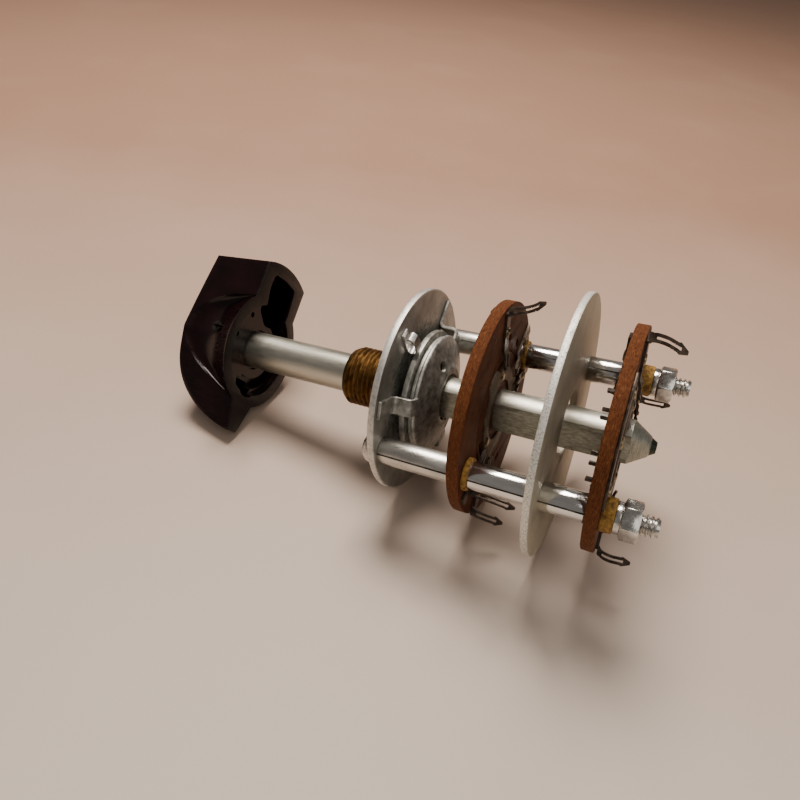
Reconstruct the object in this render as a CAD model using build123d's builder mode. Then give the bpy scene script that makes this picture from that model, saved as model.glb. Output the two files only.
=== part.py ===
from build123d import *
import math
import os

# Two-gang rotary wafer switch with a bar knob.
# Millimetres and degrees. The shaft lies along Y with the knob towards -Y, and +Z is up.
# The origin is on the shaft axis, in the face of the front plate that seats on a panel.
# An angle about the shaft is measured from +X towards +Z.

# ---- Shaft and bushing ----
SHAFT_R = 3.175              # quarter-inch shaft
SHAFT_FLAT = 2.0             # from the axis to each flat
FLAT_ANGLE = 0.0             # direction that one flat faces
FLAT_START = 5.2             # the shaft is round in front of this
CONE_GAP = 1.05              # from the rear wafer to the cone
CONE_LENGTH = 2.5
CONE_TIP_R = 1.5
NIB_R = 0.85
NIB_LENGTH = 0.9
RUNNING = 0.04               # radial clearance of the shaft in its bushing
BUSHING_R = SHAFT_R + 1.585  # 3/8 inch thread, over its crests
BUSHING_LENGTH = 10.6
BUSHING_CHAMFER = 0.7
SPIGOT_R = SHAFT_R + 0.925   # reduced end, staked in the front plate

# ---- Discs across the shaft ----
WAFER_R = 16.2
PLATE_R = WAFER_R - 0.3
PLATE_T = 1.0
SHIELD_R = WAFER_R + 3.15
SHIELD_T = 1.0
SHIELD_HOLE_R = SHAFT_R + 2.325

# ---- Tie rods and the stack on them ----
ROD_CIRCLE_R = WAFER_R - 3.0
ROD_ANGLE = -8.0             # direction of the near rod, the other is opposite
ROD_R = 1.42                 # no. 4 thread
ROD_CLEAR = 0.08             # round a rod in the plates
ROD_HEAD_R = 2.35
ROD_HEAD_H = 1.9
ROD_HEAD_FILLET = 1.14
ROD_TAIL = 2.2               # thread left showing behind the nut
SPACER_R = ROD_R + 0.58
SPACER_BORE_R = ROD_R + ROD_CLEAR
FRONT_SPACER_L = 11.0
WASHER_R = 2.35
MID_WASHER_T = 0.8
MID_SPACER_L = 8.75
REAR_SPACER_L = 6.1
REAR_WASHER_T = 1.7
COLLAR_R = 2.15
COLLAR_T = 0.8
NUT_HALF_FLATS = 2.38
NUT_T = 2.3

# ---- Rotor of a wafer ----
WAFER_T = 1.75
BLADE_T = 0.3
BLADE_BORE_R = SHAFT_R + 1.425
BLADE_HUB_R = BLADE_BORE_R + 2.0
BLADE_LOBE_R = BLADE_HUB_R + 1.7
BLADE_LOBE_W = 3.4
BLADE_LOBES = (-53.0, 67.0, 187.0)
BLADE_RIVET_CIRCLE_R = BLADE_BORE_R + 1.1
BLADE_RIVET_R = 0.55
RIVET_HEAD_R = 0.8
RIVET_HEAD_H = 0.25
WAFER_HOLE_R = BLADE_LOBE_R + 0.7
ROTOR_GAP = 0.15

# ---- Contacts of a wafer ----
POSITIONS = 12               # places for a contact round a wafer
PITCH = 360 / POSITIONS
CLIP_T = 0.35
CLIP_W = 1.9
CLIP_IN_R = BLADE_HUB_R + 0.5
CLIP_STEP_R = WAFER_HOLE_R + 0.5
CLIP_OUT_R = WAFER_R - 0.6
CLIP_LIFT = BLADE_T + 0.12   # of the jaw above the wafer's face
LUG_RISE = 4.6
LUG_SPREAD = 2.2
PRONG_H = 0.8
EYELET_CIRCLE_R = WAFER_R - 3.5
EYELET_R = 0.6
EYELET_HEAD_R = 0.85
EYELET_HEAD_H = 0.3
COLLECTOR_OUT_R = WAFER_R - 0.4
COLLECTOR_IN_R = COLLECTOR_OUT_R - 1.6
COLLECTOR_EAR_R = EYELET_CIRCLE_R - 1.1
COLLECTOR_ANGLES = (7.0, 37.0, 67.0)   # of its eyelets
COLLECTOR_OVERHANG = 4.0     # degrees beyond the first and last eyelets
CLAW_ANGLES = (17.0, 25.0, 30.0, 46.5, 50.5, 60.0)
CLAW_RISE = 0.9              # in front of the wafer
CLAW_W = 0.55
CLAW_T = 0.7                 # along the radius
# angles of the contacts on each face, on the grid midway between the rods
WAFER_1_LUGS = (-53.0, -23.0, 97.0, 217.0)
WAFER_1_BARE = (157.0, 187.0)   # on the rear face, without a lug
WAFER_1_FRONT = (-53.0, 97.0)
WAFER_2_LUGS = (-53.0, 97.0, 187.0, 217.0)
WAFER_2_BARE = ()
WAFER_2_FRONT = (-53.0, 97.0)

# ---- Index mechanism ----
CLIP_GROOVE_R = SHAFT_R - 0.425
CLIP_RING_R = SHAFT_R + 1.825
CLIP_RING_T = 0.6
CLIP_RING_Y = PLATE_T + 0.15
INDEX_R = 9.8
INDEX_Y = PLATE_T + 1.0
INDEX_T = 0.85
BALL_CIRCLE_R = 6.0
BALL_R = 0.95
BALL_LIFT = 0.05             # of the balls above the index plate
BALL_ANGLES = (83.0, 263.0)
BALL_SEAT_R = 0.8
STOP_CIRCLE_R = INDEX_R - 1.6
STOP_R = 0.8
STOP_H = 0.8
STOP_ANGLE = 203.0           # of the index plate's lug at rest
STOP_PLAY = 0.5
TURN = 60.0                  # two steps of 30 degrees, so three positions
CAGE_R = INDEX_R - 0.8
CAGE_Y = INDEX_Y + 1.1
CAGE_T = 0.5
CAGE_EAR_W = 1.8
DOME_RIM_R = INDEX_R - 0.6
DOME_SHOULDER_R = DOME_RIM_R - 0.6
DOME_HOLE_R = SHAFT_R + 0.525
DOME_TOP_R = SHAFT_R + 1.425
DOME_RIM_Y = CAGE_Y + 0.65
DOME_SHOULDER_Y = DOME_RIM_Y + 0.7
DOME_TOP_Y = DOME_SHOULDER_Y + 1.5
DOME_T = 0.6
STRAP_ANGLES = (23.0, 143.0, 263.0)
STRAP_W = 2.6
STRAP_R = INDEX_R + 0.5
STRAP_FOOT_R = PLATE_R - 0.6
STRAP_FOOT_T = 0.5
STRAP_LAP = 0.1              # of a strap into the dome's rim
TAB_ANGLE = 70.0
TAB_IN_R = INDEX_R + 0.5
TAB_OUT_R = PLATE_R - 1.9
TAB_W = 1.5
TAB_H = 1.6
TAB_EYE_R = 0.45
TAB_EYE_INSET = 1.1

# ---- Knob ----
KNOB_BACK = 29.2             # from the panel face to the knob's back face
KNOB_ANGLE = -39.4           # direction of the pointer
KNOB_SKIRT_R = 10.1
KNOB_HALF_W = 6.46
KNOB_TAIL_R = 15.5
KNOB_NOSE = 14.8
KNOB_NOSE_HALF_W = 1.1
KNOB_TAIL_H = 10.2
KNOB_CROWN_H = 12.4
KNOB_CROWN_U = 3.5           # where the grip is highest, along the pointer
KNOB_BROW_U = 10.8           # a point on the curved nose
KNOB_BROW_H = 8.93
KNOB_LEAN = (KNOB_SKIRT_R - KNOB_HALF_W) / KNOB_CROWN_H
KNOB_WALL = 1.7
KNOB_HUB_R = SHAFT_R + 2.025
KNOB_HUB_RECESS = 2.7
KNOB_RING_DEPTH = 6.0        # of the pocket round the hub
KNOB_RING_R = KNOB_SKIRT_R - KNOB_LEAN * KNOB_RING_DEPTH - 1.0
KNOB_POCKET_DEPTH = 8.0      # of the pocket in the tail
KNOB_WEB_V = 3.0             # the set screw's web is solid beyond this
KNOB_BORE_DEPTH = 6.5
SET_SCREW_R = 0.9
SET_SCREW_L = 4.0
SET_SCREW_SLOT_W = 0.35
SET_SCREW_SLOT_H = 0.6
SET_SCREW_ANGLE = 98.0       # from the pointer
SET_SCREW_H = 5.2            # above the knob's back face

# ---- Places along the shaft, front to back ----
FRONT_SPACER_Y = PLATE_T
WAFER_1_Y = FRONT_SPACER_Y + FRONT_SPACER_L
MID_WASHER_Y = WAFER_1_Y + WAFER_T
MID_SPACER_Y = MID_WASHER_Y + MID_WASHER_T
SHIELD_Y = MID_SPACER_Y + MID_SPACER_L
REAR_SPACER_Y = SHIELD_Y + SHIELD_T
WAFER_2_Y = REAR_SPACER_Y + REAR_SPACER_L
REAR_WASHER_Y = WAFER_2_Y + WAFER_T
CONE_START = REAR_WASHER_Y + CONE_GAP
COLLAR_Y = REAR_WASHER_Y + REAR_WASHER_T
NUT_Y = COLLAR_Y + COLLAR_T
ROD_END_Y = NUT_Y + NUT_T + ROD_TAIL
SHAFT_FRONT_Y = -(KNOB_BACK + KNOB_HUB_RECESS + KNOB_BORE_DEPTH)
BALL_Y = INDEX_Y + INDEX_T + BALL_LIFT + BALL_R


def across(y, angle=0.0):
    """The plane across the shaft at y, with its x turned by angle. It faces the knob."""
    a = math.radians(angle)
    return Plane(origin=(0, y, 0), x_dir=(math.cos(a), 0, math.sin(a)), z_dir=(0, -1, 0))


def radial(angle):
    """The plane through the shaft at an angle: x is outwards, y is towards the rear."""
    a = math.radians(angle)
    return Plane(origin=(0, 0, 0), x_dir=(math.cos(a), 0, math.sin(a)), z_dir=(-math.sin(a), 0, math.cos(a)))


def polar(radius, angle):
    """A point on an across() plane."""
    return (radius * math.cos(math.radians(angle)), radius * math.sin(math.radians(angle)))


def ring(y, length, outer, inner=0.0, centre=(0.0, 0.0)):
    """A disc, washer or tube from y towards the rear, added to the current part."""
    with BuildSketch(across(y)) as section:
        with Locations(centre):
            Circle(outer)
            if inner > 0:
                Circle(inner, mode=Mode.SUBTRACT)
    extrude(section.sketch, amount=-length)


def holes(y, length, radius, centres):
    """Round holes along the shaft, cut from the current part."""
    with BuildSketch(across(y)) as section:
        with Locations(*centres):
            Circle(radius)
    extrude(section.sketch, amount=-length, mode=Mode.SUBTRACT)


def flatted_hole(y, length):
    """The shaft's section with its two flats, cut from the current part."""
    with BuildSketch(across(y, FLAT_ANGLE)) as section:
        Circle(SHAFT_R)
        Rectangle(2 * SHAFT_FLAT, 4 * SHAFT_R, mode=Mode.INTERSECT)
    extrude(section.sketch, amount=-length, mode=Mode.SUBTRACT)


RODS = {"near": polar(ROD_CIRCLE_R, ROD_ANGLE), "far": polar(ROD_CIRCLE_R, ROD_ANGLE + 180)}
ROD_CENTRES = list(RODS.values())
PARTS = []


def keep(piece, name):
    """Name a finished piece and put it in the list that is written at the end."""
    piece.part.label = name
    PARTS.append(piece.part)


# ---------------------------------------------------------------- shaft
with BuildPart() as shaft:
    ring(SHAFT_FRONT_Y, CONE_START - SHAFT_FRONT_Y, SHAFT_R)
    with BuildSketch(across(FLAT_START, FLAT_ANGLE)):
        Circle(SHAFT_R + 1)
        Rectangle(2 * SHAFT_FLAT, 4 * SHAFT_R, mode=Mode.SUBTRACT)
    extrude(amount=-(CONE_START - FLAT_START), mode=Mode.SUBTRACT)
    with BuildSketch(radial(0)):
        with BuildLine():
            Polyline(
                (0, CONE_START),
                (SHAFT_R, CONE_START),
                (CONE_TIP_R, CONE_START + CONE_LENGTH),
                (NIB_R, CONE_START + CONE_LENGTH + NIB_LENGTH),
                (0, CONE_START + CONE_LENGTH + NIB_LENGTH),
                close=True,
            )
        make_face()
    revolve(axis=Axis.Y)
    with BuildSketch(across(CLIP_RING_Y)):
        Circle(SHAFT_R + 1)
        Circle(CLIP_GROOVE_R, mode=Mode.SUBTRACT)
    extrude(amount=-CLIP_RING_T, mode=Mode.SUBTRACT)
keep(shaft, "shaft")

# ---------------------------------------------------------------- bushing and front plate
with BuildPart() as bushing:
    ring(-BUSHING_LENGTH, BUSHING_LENGTH, BUSHING_R)
    chamfer(bushing.edges().sort_by(Axis.Y)[0], BUSHING_CHAMFER)
    ring(0, PLATE_T, SPIGOT_R)
    holes(-BUSHING_LENGTH, BUSHING_LENGTH + PLATE_T, SHAFT_R + RUNNING, [(0, 0)])
keep(bushing, "bushing")

stop_turn = 2 * math.degrees(math.asin(STOP_R / STOP_CIRCLE_R)) + STOP_PLAY
stop_angles = (STOP_ANGLE - stop_turn, STOP_ANGLE + TURN + stop_turn)
with BuildPart() as front_plate:
    ring(0, PLATE_T, PLATE_R, SPIGOT_R)
    holes(0, PLATE_T, ROD_R + ROD_CLEAR, ROD_CENTRES)
    with BuildSketch(across(PLATE_T)):
        with Locations(*[polar(STOP_CIRCLE_R, a) for a in stop_angles]):
            Circle(STOP_R)
    extrude(amount=-STOP_H)
keep(front_plate, "front_plate")

with BuildPart() as stop_tab:
    with BuildSketch(radial(TAB_ANGLE)):
        with Locations(((TAB_IN_R + TAB_OUT_R) / 2, PLATE_T + TAB_H / 2)):
            Rectangle(TAB_OUT_R - TAB_IN_R, TAB_H)
        eyes = [(r, PLATE_T + TAB_H / 2) for r in (TAB_IN_R + TAB_EYE_INSET, TAB_OUT_R - TAB_EYE_INSET)]
        with Locations(*eyes):
            Circle(TAB_EYE_R, mode=Mode.SUBTRACT)
    extrude(amount=TAB_W / 2, both=True)
keep(stop_tab, "stop_tab")

# ---------------------------------------------------------------- index mechanism
with BuildPart() as shaft_clip:
    ring(CLIP_RING_Y, CLIP_RING_T, CLIP_RING_R, CLIP_GROOVE_R)
    with BuildSketch(across(CLIP_RING_Y)):
        with Locations((CLIP_RING_R, 0)):
            Rectangle(2 * CLIP_RING_R, 1.5 * CLIP_GROOVE_R)
    extrude(amount=-CLIP_RING_T, mode=Mode.SUBTRACT)
keep(shaft_clip, "shaft_clip")

with BuildPart() as index_plate:
    ring(INDEX_Y, INDEX_T, INDEX_R, SHAFT_R)
    seats = [polar(BALL_CIRCLE_R, BALL_ANGLES[0] + PITCH * i) for i in range(POSITIONS)]
    holes(INDEX_Y, INDEX_T, BALL_SEAT_R, seats)
    with BuildSketch(across(INDEX_Y)):
        with Locations(polar(STOP_CIRCLE_R, STOP_ANGLE)):
            Circle(STOP_R)
    extrude(amount=STOP_H)
keep(index_plate, "index_plate")

ball_centres = [polar(BALL_CIRCLE_R, a) for a in BALL_ANGLES]
with BuildPart() as detent_balls:
    with Locations(*[(x, BALL_Y, z) for x, z in ball_centres]):
        Sphere(BALL_R)
keep(detent_balls, "detent_balls")

with BuildPart() as ball_cage:
    ring(CAGE_Y, CAGE_T, CAGE_R, DOME_HOLE_R)
    for angle in STRAP_ANGLES:
        with BuildSketch(across(CAGE_Y, angle)):
            with Locations((STRAP_R / 2 + DOME_HOLE_R / 2, 0)):
                Rectangle(STRAP_R - DOME_HOLE_R, CAGE_EAR_W)
        extrude(amount=-CAGE_T)
    holes(CAGE_Y, CAGE_T, BALL_R + BALL_LIFT, ball_centres)
keep(ball_cage, "ball_cage")

with BuildPart() as detent_spring:
    with BuildSketch(radial(0)):
        with BuildLine():
            Polyline(
                (DOME_HOLE_R, DOME_TOP_Y),
                (DOME_TOP_R, DOME_TOP_Y),
                (DOME_SHOULDER_R, DOME_SHOULDER_Y),
                (DOME_RIM_R, DOME_RIM_Y),
                (DOME_RIM_R - DOME_T, DOME_RIM_Y),
                (DOME_SHOULDER_R - DOME_T, DOME_SHOULDER_Y - DOME_T / 2),
                (DOME_TOP_R, DOME_TOP_Y - DOME_T),
                (DOME_HOLE_R, DOME_TOP_Y - DOME_T),
                close=True,
            )
        make_face()
    revolve(axis=Axis.Y)
    for angle in STRAP_ANGLES:
        outer = STRAP_R + DOME_T
        with BuildSketch(radial(angle)):
            with BuildLine():
                Polyline(
                    (DOME_SHOULDER_R - STRAP_LAP, DOME_RIM_Y + STRAP_LAP),
                    (DOME_SHOULDER_R - STRAP_LAP, DOME_RIM_Y + DOME_T),
                    (outer, DOME_RIM_Y + DOME_T),
                    (outer, PLATE_T + STRAP_FOOT_T),
                    (STRAP_FOOT_R, PLATE_T + STRAP_FOOT_T),
                    (STRAP_FOOT_R, PLATE_T),
                    (STRAP_R, PLATE_T),
                    (STRAP_R, DOME_RIM_Y + STRAP_LAP),
                    close=True,
                )
            make_face()
        extrude(amount=STRAP_W / 2, both=True)
    holes(DOME_RIM_Y - DOME_T, DOME_TOP_Y, BALL_SEAT_R, ball_centres)
keep(detent_spring, "detent_spring")

# ---------------------------------------------------------------- tie rods and what is on them
for side, centre in RODS.items():
    with BuildPart() as tie_rod:
        ring(0, ROD_END_Y, ROD_R, centre=centre)
        ring(-ROD_HEAD_H, ROD_HEAD_H, ROD_HEAD_R, centre=centre)
        fillet(tie_rod.edges().sort_by(Axis.Y)[0], ROD_HEAD_FILLET)
    keep(tie_rod, f"tie_rod_{side}")
    for name, y, length in (
        ("front_spacer", FRONT_SPACER_Y, FRONT_SPACER_L),
        ("mid_spacer", MID_SPACER_Y, MID_SPACER_L),
        ("rear_spacer", REAR_SPACER_Y, REAR_SPACER_L),
    ):
        with BuildPart() as spacer:
            ring(y, length, SPACER_R, SPACER_BORE_R, centre)
        keep(spacer, f"{name}_{side}")
    for name, y, length, radius in (
        ("mid_washer", MID_WASHER_Y, MID_WASHER_T, WASHER_R),
        ("rear_washer", REAR_WASHER_Y, REAR_WASHER_T, WASHER_R),
        ("rear_collar", COLLAR_Y, COLLAR_T, COLLAR_R),
    ):
        with BuildPart() as washer:
            ring(y, length, radius, ROD_R, centre)
        keep(washer, f"{name}_{side}")
    with BuildPart() as rod_nut:
        with BuildSketch(across(NUT_Y)):
            with Locations(centre):
                RegularPolygon(NUT_HALF_FLATS, 6, major_radius=False)
                Circle(ROD_R, mode=Mode.SUBTRACT)
        extrude(amount=-NUT_T)
    keep(rod_nut, f"rod_nut_{side}")

with BuildPart() as shield_disc:
    ring(SHIELD_Y, SHIELD_T, SHIELD_R, SHIELD_HOLE_R)
    holes(SHIELD_Y, SHIELD_T, ROD_R + ROD_CLEAR, ROD_CENTRES)
keep(shield_disc, "shield_disc")


# ---------------------------------------------------------------- wafers
def claws(y, length, mode):
    """The collector's claws, or the slots for them, from y towards the rear."""
    for angle in CLAW_ANGLES:
        with BuildSketch(across(y, angle)) as section:
            with Locations(((COLLECTOR_IN_R + COLLECTOR_OUT_R) / 2, 0)):
                Rectangle(CLAW_T, CLAW_W)
        extrude(section.sketch, amount=-length, mode=mode)


def clip_outline(side, face_y, lug):
    """A contact's outline in radius and y: jaw, step, strip on the wafer, and lug or prong."""
    def point(radius, height):
        return (radius, face_y + side * height)

    outline = [
        point(CLIP_IN_R, CLIP_LIFT),
        point(CLIP_STEP_R, CLIP_LIFT),
        point(CLIP_STEP_R, 0),
        point(CLIP_OUT_R, 0),
    ]
    if lug:
        outline += [
            point(CLIP_OUT_R + CLIP_T, CLIP_T),
            point(CLIP_OUT_R + LUG_SPREAD + CLIP_T, LUG_RISE),
            point(CLIP_OUT_R + LUG_SPREAD, LUG_RISE),
        ]
    else:
        outline += [point(CLIP_OUT_R, PRONG_H), point(CLIP_OUT_R - CLIP_T, PRONG_H)]
    outline += [
        point(CLIP_OUT_R - CLIP_T, CLIP_T),
        point(CLIP_STEP_R + CLIP_T, CLIP_T),
        point(CLIP_STEP_R + CLIP_T, CLIP_LIFT + CLIP_T),
        point(CLIP_IN_R, CLIP_LIFT + CLIP_T),
    ]
    return outline


def contact_clips(side, face_y, angles, lug_angles=()):
    """A row of contacts on one face of a wafer, with holes for their eyelets."""
    with BuildPart() as clips:
        for angle in angles:
            with BuildSketch(radial(angle)):
                with BuildLine():
                    Polyline(*clip_outline(side, face_y, angle in lug_angles), close=True)
                make_face()
            extrude(amount=CLIP_W / 2, both=True)
        low = min(face_y, face_y + side * CLIP_T)
        holes(low, CLIP_T, EYELET_R, [polar(EYELET_CIRCLE_R, a) for a in angles])
    return clips


def wafer(number, y, lug_angles, bare_angles, front_angles, collector_angles=()):
    """One switch wafer: stator, contacts, eyelets, rotor, two rotor blades and their rivets."""
    rear_angles = lug_angles + bare_angles
    angles = sorted({*rear_angles, *front_angles, *collector_angles})
    eyelet_centres = [polar(EYELET_CIRCLE_R, a) for a in angles]
    rivet_centres = [polar(BLADE_RIVET_CIRCLE_R, a + PITCH) for a in BLADE_LOBES]
    rear_y = y + WAFER_T

    with BuildPart() as stator:
        ring(y, WAFER_T, WAFER_R, WAFER_HOLE_R)
        holes(y, WAFER_T, ROD_R + ROD_CLEAR, ROD_CENTRES)
        holes(y, WAFER_T, EYELET_R, eyelet_centres)
        if collector_angles:
            claws(y, WAFER_T, Mode.SUBTRACT)
    keep(stator, f"wafer_{number}_stator")

    keep(contact_clips(1, rear_y, rear_angles, lug_angles), f"wafer_{number}_rear_contacts")
    keep(contact_clips(-1, y, front_angles), f"wafer_{number}_front_contacts")

    with BuildPart() as eyelets:
        for angle in angles:
            centre = polar(EYELET_CIRCLE_R, angle)
            front_grip = CLIP_T if angle in front_angles else 0
            rear_grip = CLIP_T if angle in rear_angles + collector_angles else 0
            ring(y - front_grip, WAFER_T + front_grip + rear_grip, EYELET_R, centre=centre)
            ring(y - front_grip - EYELET_HEAD_H, EYELET_HEAD_H, EYELET_HEAD_R, centre=centre)
            ring(rear_y + rear_grip, EYELET_HEAD_H, EYELET_HEAD_R, centre=centre)
    keep(eyelets, f"wafer_{number}_eyelets")

    with BuildPart() as rotor:
        ring(y, WAFER_T, WAFER_HOLE_R - ROTOR_GAP)
        flatted_hole(y, WAFER_T)
        holes(y, WAFER_T, BLADE_RIVET_R, rivet_centres)
    keep(rotor, f"wafer_{number}_rotor")

    for face, blade_y in (("front", y - BLADE_T), ("rear", rear_y)):
        with BuildPart() as blade:
            with BuildSketch(across(blade_y)):
                Circle(BLADE_HUB_R)
                for angle in BLADE_LOBES:
                    with Locations(polar(BLADE_LOBE_R / 2, angle)):
                        Rectangle(BLADE_LOBE_R, BLADE_LOBE_W, rotation=angle)
                Circle(BLADE_BORE_R, mode=Mode.SUBTRACT)
            extrude(amount=-BLADE_T)
            holes(blade_y, BLADE_T, BLADE_RIVET_R, rivet_centres)
        keep(blade, f"wafer_{number}_{face}_blade")

    with BuildPart() as rivets:
        for centre in rivet_centres:
            ring(y - BLADE_T, WAFER_T + 2 * BLADE_T, BLADE_RIVET_R, centre=centre)
            ring(y - BLADE_T - RIVET_HEAD_H, RIVET_HEAD_H, RIVET_HEAD_R, centre=centre)
            ring(rear_y + BLADE_T, RIVET_HEAD_H, RIVET_HEAD_R, centre=centre)
    keep(rivets, f"wafer_{number}_rotor_rivets")


wafer(1, WAFER_1_Y, WAFER_1_LUGS, WAFER_1_BARE, WAFER_1_FRONT)
wafer(2, WAFER_2_Y, WAFER_2_LUGS, WAFER_2_BARE, WAFER_2_FRONT, COLLECTOR_ANGLES)

collector_y = WAFER_2_Y + WAFER_T
collector_start = COLLECTOR_ANGLES[0] - COLLECTOR_OVERHANG
collector_sweep = COLLECTOR_ANGLES[-1] + COLLECTOR_OVERHANG - collector_start
with BuildPart() as collector:
    with BuildSketch(across(collector_y)):
        with BuildLine():
            outer = CenterArc((0, 0), COLLECTOR_OUT_R, collector_start, collector_sweep)
            inner = CenterArc((0, 0), COLLECTOR_IN_R, collector_start, collector_sweep)
            Line(outer @ 0, inner @ 0)
            Line(outer @ 1, inner @ 1)
        make_face()
        for angle in COLLECTOR_ANGLES:
            with Locations(polar((COLLECTOR_EAR_R + COLLECTOR_IN_R + CLIP_T) / 2, angle)):
                Rectangle(COLLECTOR_IN_R + CLIP_T - COLLECTOR_EAR_R, CLIP_W, rotation=angle)
    extrude(amount=-CLIP_T)
    claws(WAFER_2_Y - CLAW_RISE, CLAW_RISE + WAFER_T, Mode.ADD)
    holes(collector_y, CLIP_T, EYELET_R, [polar(EYELET_CIRCLE_R, a) for a in COLLECTOR_ANGLES])
keep(collector, "wafer_2_collector")

# ---------------------------------------------------------------- knob
# On its own plane, x is along the pointer and the knob rises towards -Y.
knob_back = across(-KNOB_BACK, KNOB_ANGLE)
pointer = math.radians(KNOB_ANGLE)
knob_side = Plane(
    origin=(0, -KNOB_BACK, 0),
    x_dir=(math.cos(pointer), 0, math.sin(pointer)),
    z_dir=(math.sin(pointer), 0, -math.cos(pointer)),
)
screw_turn = math.radians(KNOB_ANGLE + SET_SCREW_ANGLE)
screw_plane = Plane(
    origin=(0, -KNOB_BACK - SET_SCREW_H, 0),
    x_dir=(0, -1, 0),
    z_dir=(math.cos(screw_turn), 0, math.sin(screw_turn)),
)
tail_u = -math.sqrt(KNOB_TAIL_R**2 - KNOB_HALF_W**2)
with BuildPart() as knob:
    with BuildSketch(knob_back):
        with BuildLine():
            Polyline(
                (tail_u, -KNOB_HALF_W),
                (0, -KNOB_HALF_W),
                (KNOB_NOSE, -KNOB_NOSE_HALF_W),
                (KNOB_NOSE, KNOB_NOSE_HALF_W),
                (0, KNOB_HALF_W),
                (tail_u, KNOB_HALF_W),
            )
            ThreePointArc((tail_u, KNOB_HALF_W), (-KNOB_TAIL_R, 0), (tail_u, -KNOB_HALF_W))
        make_face()
    extrude(amount=KNOB_CROWN_H)
    with BuildSketch(knob_back):
        Circle(KNOB_SKIRT_R)
    extrude(amount=KNOB_CROWN_H, taper=math.degrees(math.atan(KNOB_LEAN)))
    with BuildSketch(knob_side):
        with BuildLine():
            Polyline((KNOB_NOSE, 0), (-KNOB_TAIL_R, 0), (-KNOB_TAIL_R, KNOB_TAIL_H), (KNOB_CROWN_U, KNOB_CROWN_H))
            ThreePointArc((KNOB_CROWN_U, KNOB_CROWN_H), (KNOB_BROW_U, KNOB_BROW_H), (KNOB_NOSE, 0))
        make_face()
    extrude(amount=2 * KNOB_SKIRT_R, both=True, mode=Mode.INTERSECT)
    # pockets in the back: round the hub except beside the set screw, then the tail
    with BuildSketch(knob_back):
        Circle(KNOB_RING_R)
        Circle(KNOB_HUB_R, mode=Mode.SUBTRACT)
        with Locations((0, KNOB_WEB_V + KNOB_RING_R)):
            Rectangle(2 * KNOB_RING_R, 2 * KNOB_RING_R, mode=Mode.SUBTRACT)
    extrude(amount=KNOB_RING_DEPTH, mode=Mode.SUBTRACT)
    with BuildSketch(knob_back):
        with Locations(((tail_u + KNOB_WALL) / 2, 0)):
            Rectangle(-tail_u - KNOB_WALL, 2 * (KNOB_HALF_W - KNOB_WALL))
        Circle(KNOB_HUB_R, mode=Mode.SUBTRACT)
    extrude(amount=KNOB_POCKET_DEPTH, mode=Mode.SUBTRACT)
    with BuildSketch(knob_back):
        Circle(KNOB_SKIRT_R - KNOB_WALL)
    extrude(amount=KNOB_HUB_RECESS, mode=Mode.SUBTRACT)
    holes(SHAFT_FRONT_Y, KNOB_BORE_DEPTH, SHAFT_R, [(0, 0)])
    with BuildSketch(screw_plane):
        Circle(SET_SCREW_R)
    extrude(amount=2 * KNOB_SKIRT_R, mode=Mode.SUBTRACT)
keep(knob, "knob")

with BuildPart() as knob_set_screw:
    with BuildSketch(screw_plane.offset(SHAFT_R)):
        Circle(SET_SCREW_R)
    extrude(amount=SET_SCREW_L)
    with BuildSketch(screw_plane.offset(SHAFT_R + SET_SCREW_L)):
        Rectangle(2 * SET_SCREW_R, SET_SCREW_SLOT_W)
    extrude(amount=-SET_SCREW_SLOT_H, mode=Mode.SUBTRACT)
keep(knob_set_screw, "knob_set_screw")

os.makedirs("parts", exist_ok=True)
for piece in PARTS:
    export_step(piece, f"parts/{piece.label}.step")
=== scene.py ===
import math
from contextlib import contextmanager

import bmesh
import bpy
from mathutils import Matrix, Vector


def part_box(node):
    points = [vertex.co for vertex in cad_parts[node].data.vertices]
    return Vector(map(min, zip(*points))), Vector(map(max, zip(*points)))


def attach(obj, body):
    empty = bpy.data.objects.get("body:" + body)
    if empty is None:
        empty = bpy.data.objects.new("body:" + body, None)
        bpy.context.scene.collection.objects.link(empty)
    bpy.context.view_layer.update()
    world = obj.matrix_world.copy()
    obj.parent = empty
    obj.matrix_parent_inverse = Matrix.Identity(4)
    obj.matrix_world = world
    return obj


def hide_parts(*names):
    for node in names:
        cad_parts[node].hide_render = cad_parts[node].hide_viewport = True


# A two-gang rotary wafer switch with a bar knob.
# Shapes are worked out in millimetres and scaled to metres when a piece is published.
# The shaft lies along Y, the knob is towards -Y, and angles go round the shaft from +X to +Z.

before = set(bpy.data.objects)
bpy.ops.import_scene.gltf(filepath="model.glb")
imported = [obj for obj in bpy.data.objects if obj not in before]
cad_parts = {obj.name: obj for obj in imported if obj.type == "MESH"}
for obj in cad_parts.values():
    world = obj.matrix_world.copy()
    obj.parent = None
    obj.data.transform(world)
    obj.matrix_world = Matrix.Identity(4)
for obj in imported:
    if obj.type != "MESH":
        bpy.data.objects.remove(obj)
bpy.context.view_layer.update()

MM = 0.001
SMOOTH = math.radians(32)


# ------------------------------------------------------------------ where things are
def span(node):
    """Lowest and highest y of a CAD node, in mm."""
    low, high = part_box(node)
    return low.y / MM, high.y / MM


def middle(node):
    """Centre of a CAD node across the shaft, as (x, z) in mm."""
    low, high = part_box(node)
    return (low.x + high.x) / 2 / MM, (low.z + high.z) / 2 / MM


def radius(node):
    """Half of a CAD node's height, in mm."""
    low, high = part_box(node)
    return (high.z - low.z) / 2 / MM


def around(r, degrees):
    """A point at radius r and an angle about the shaft, as (x, z)."""
    return r * math.cos(math.radians(degrees)), r * math.sin(math.radians(degrees))


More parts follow.
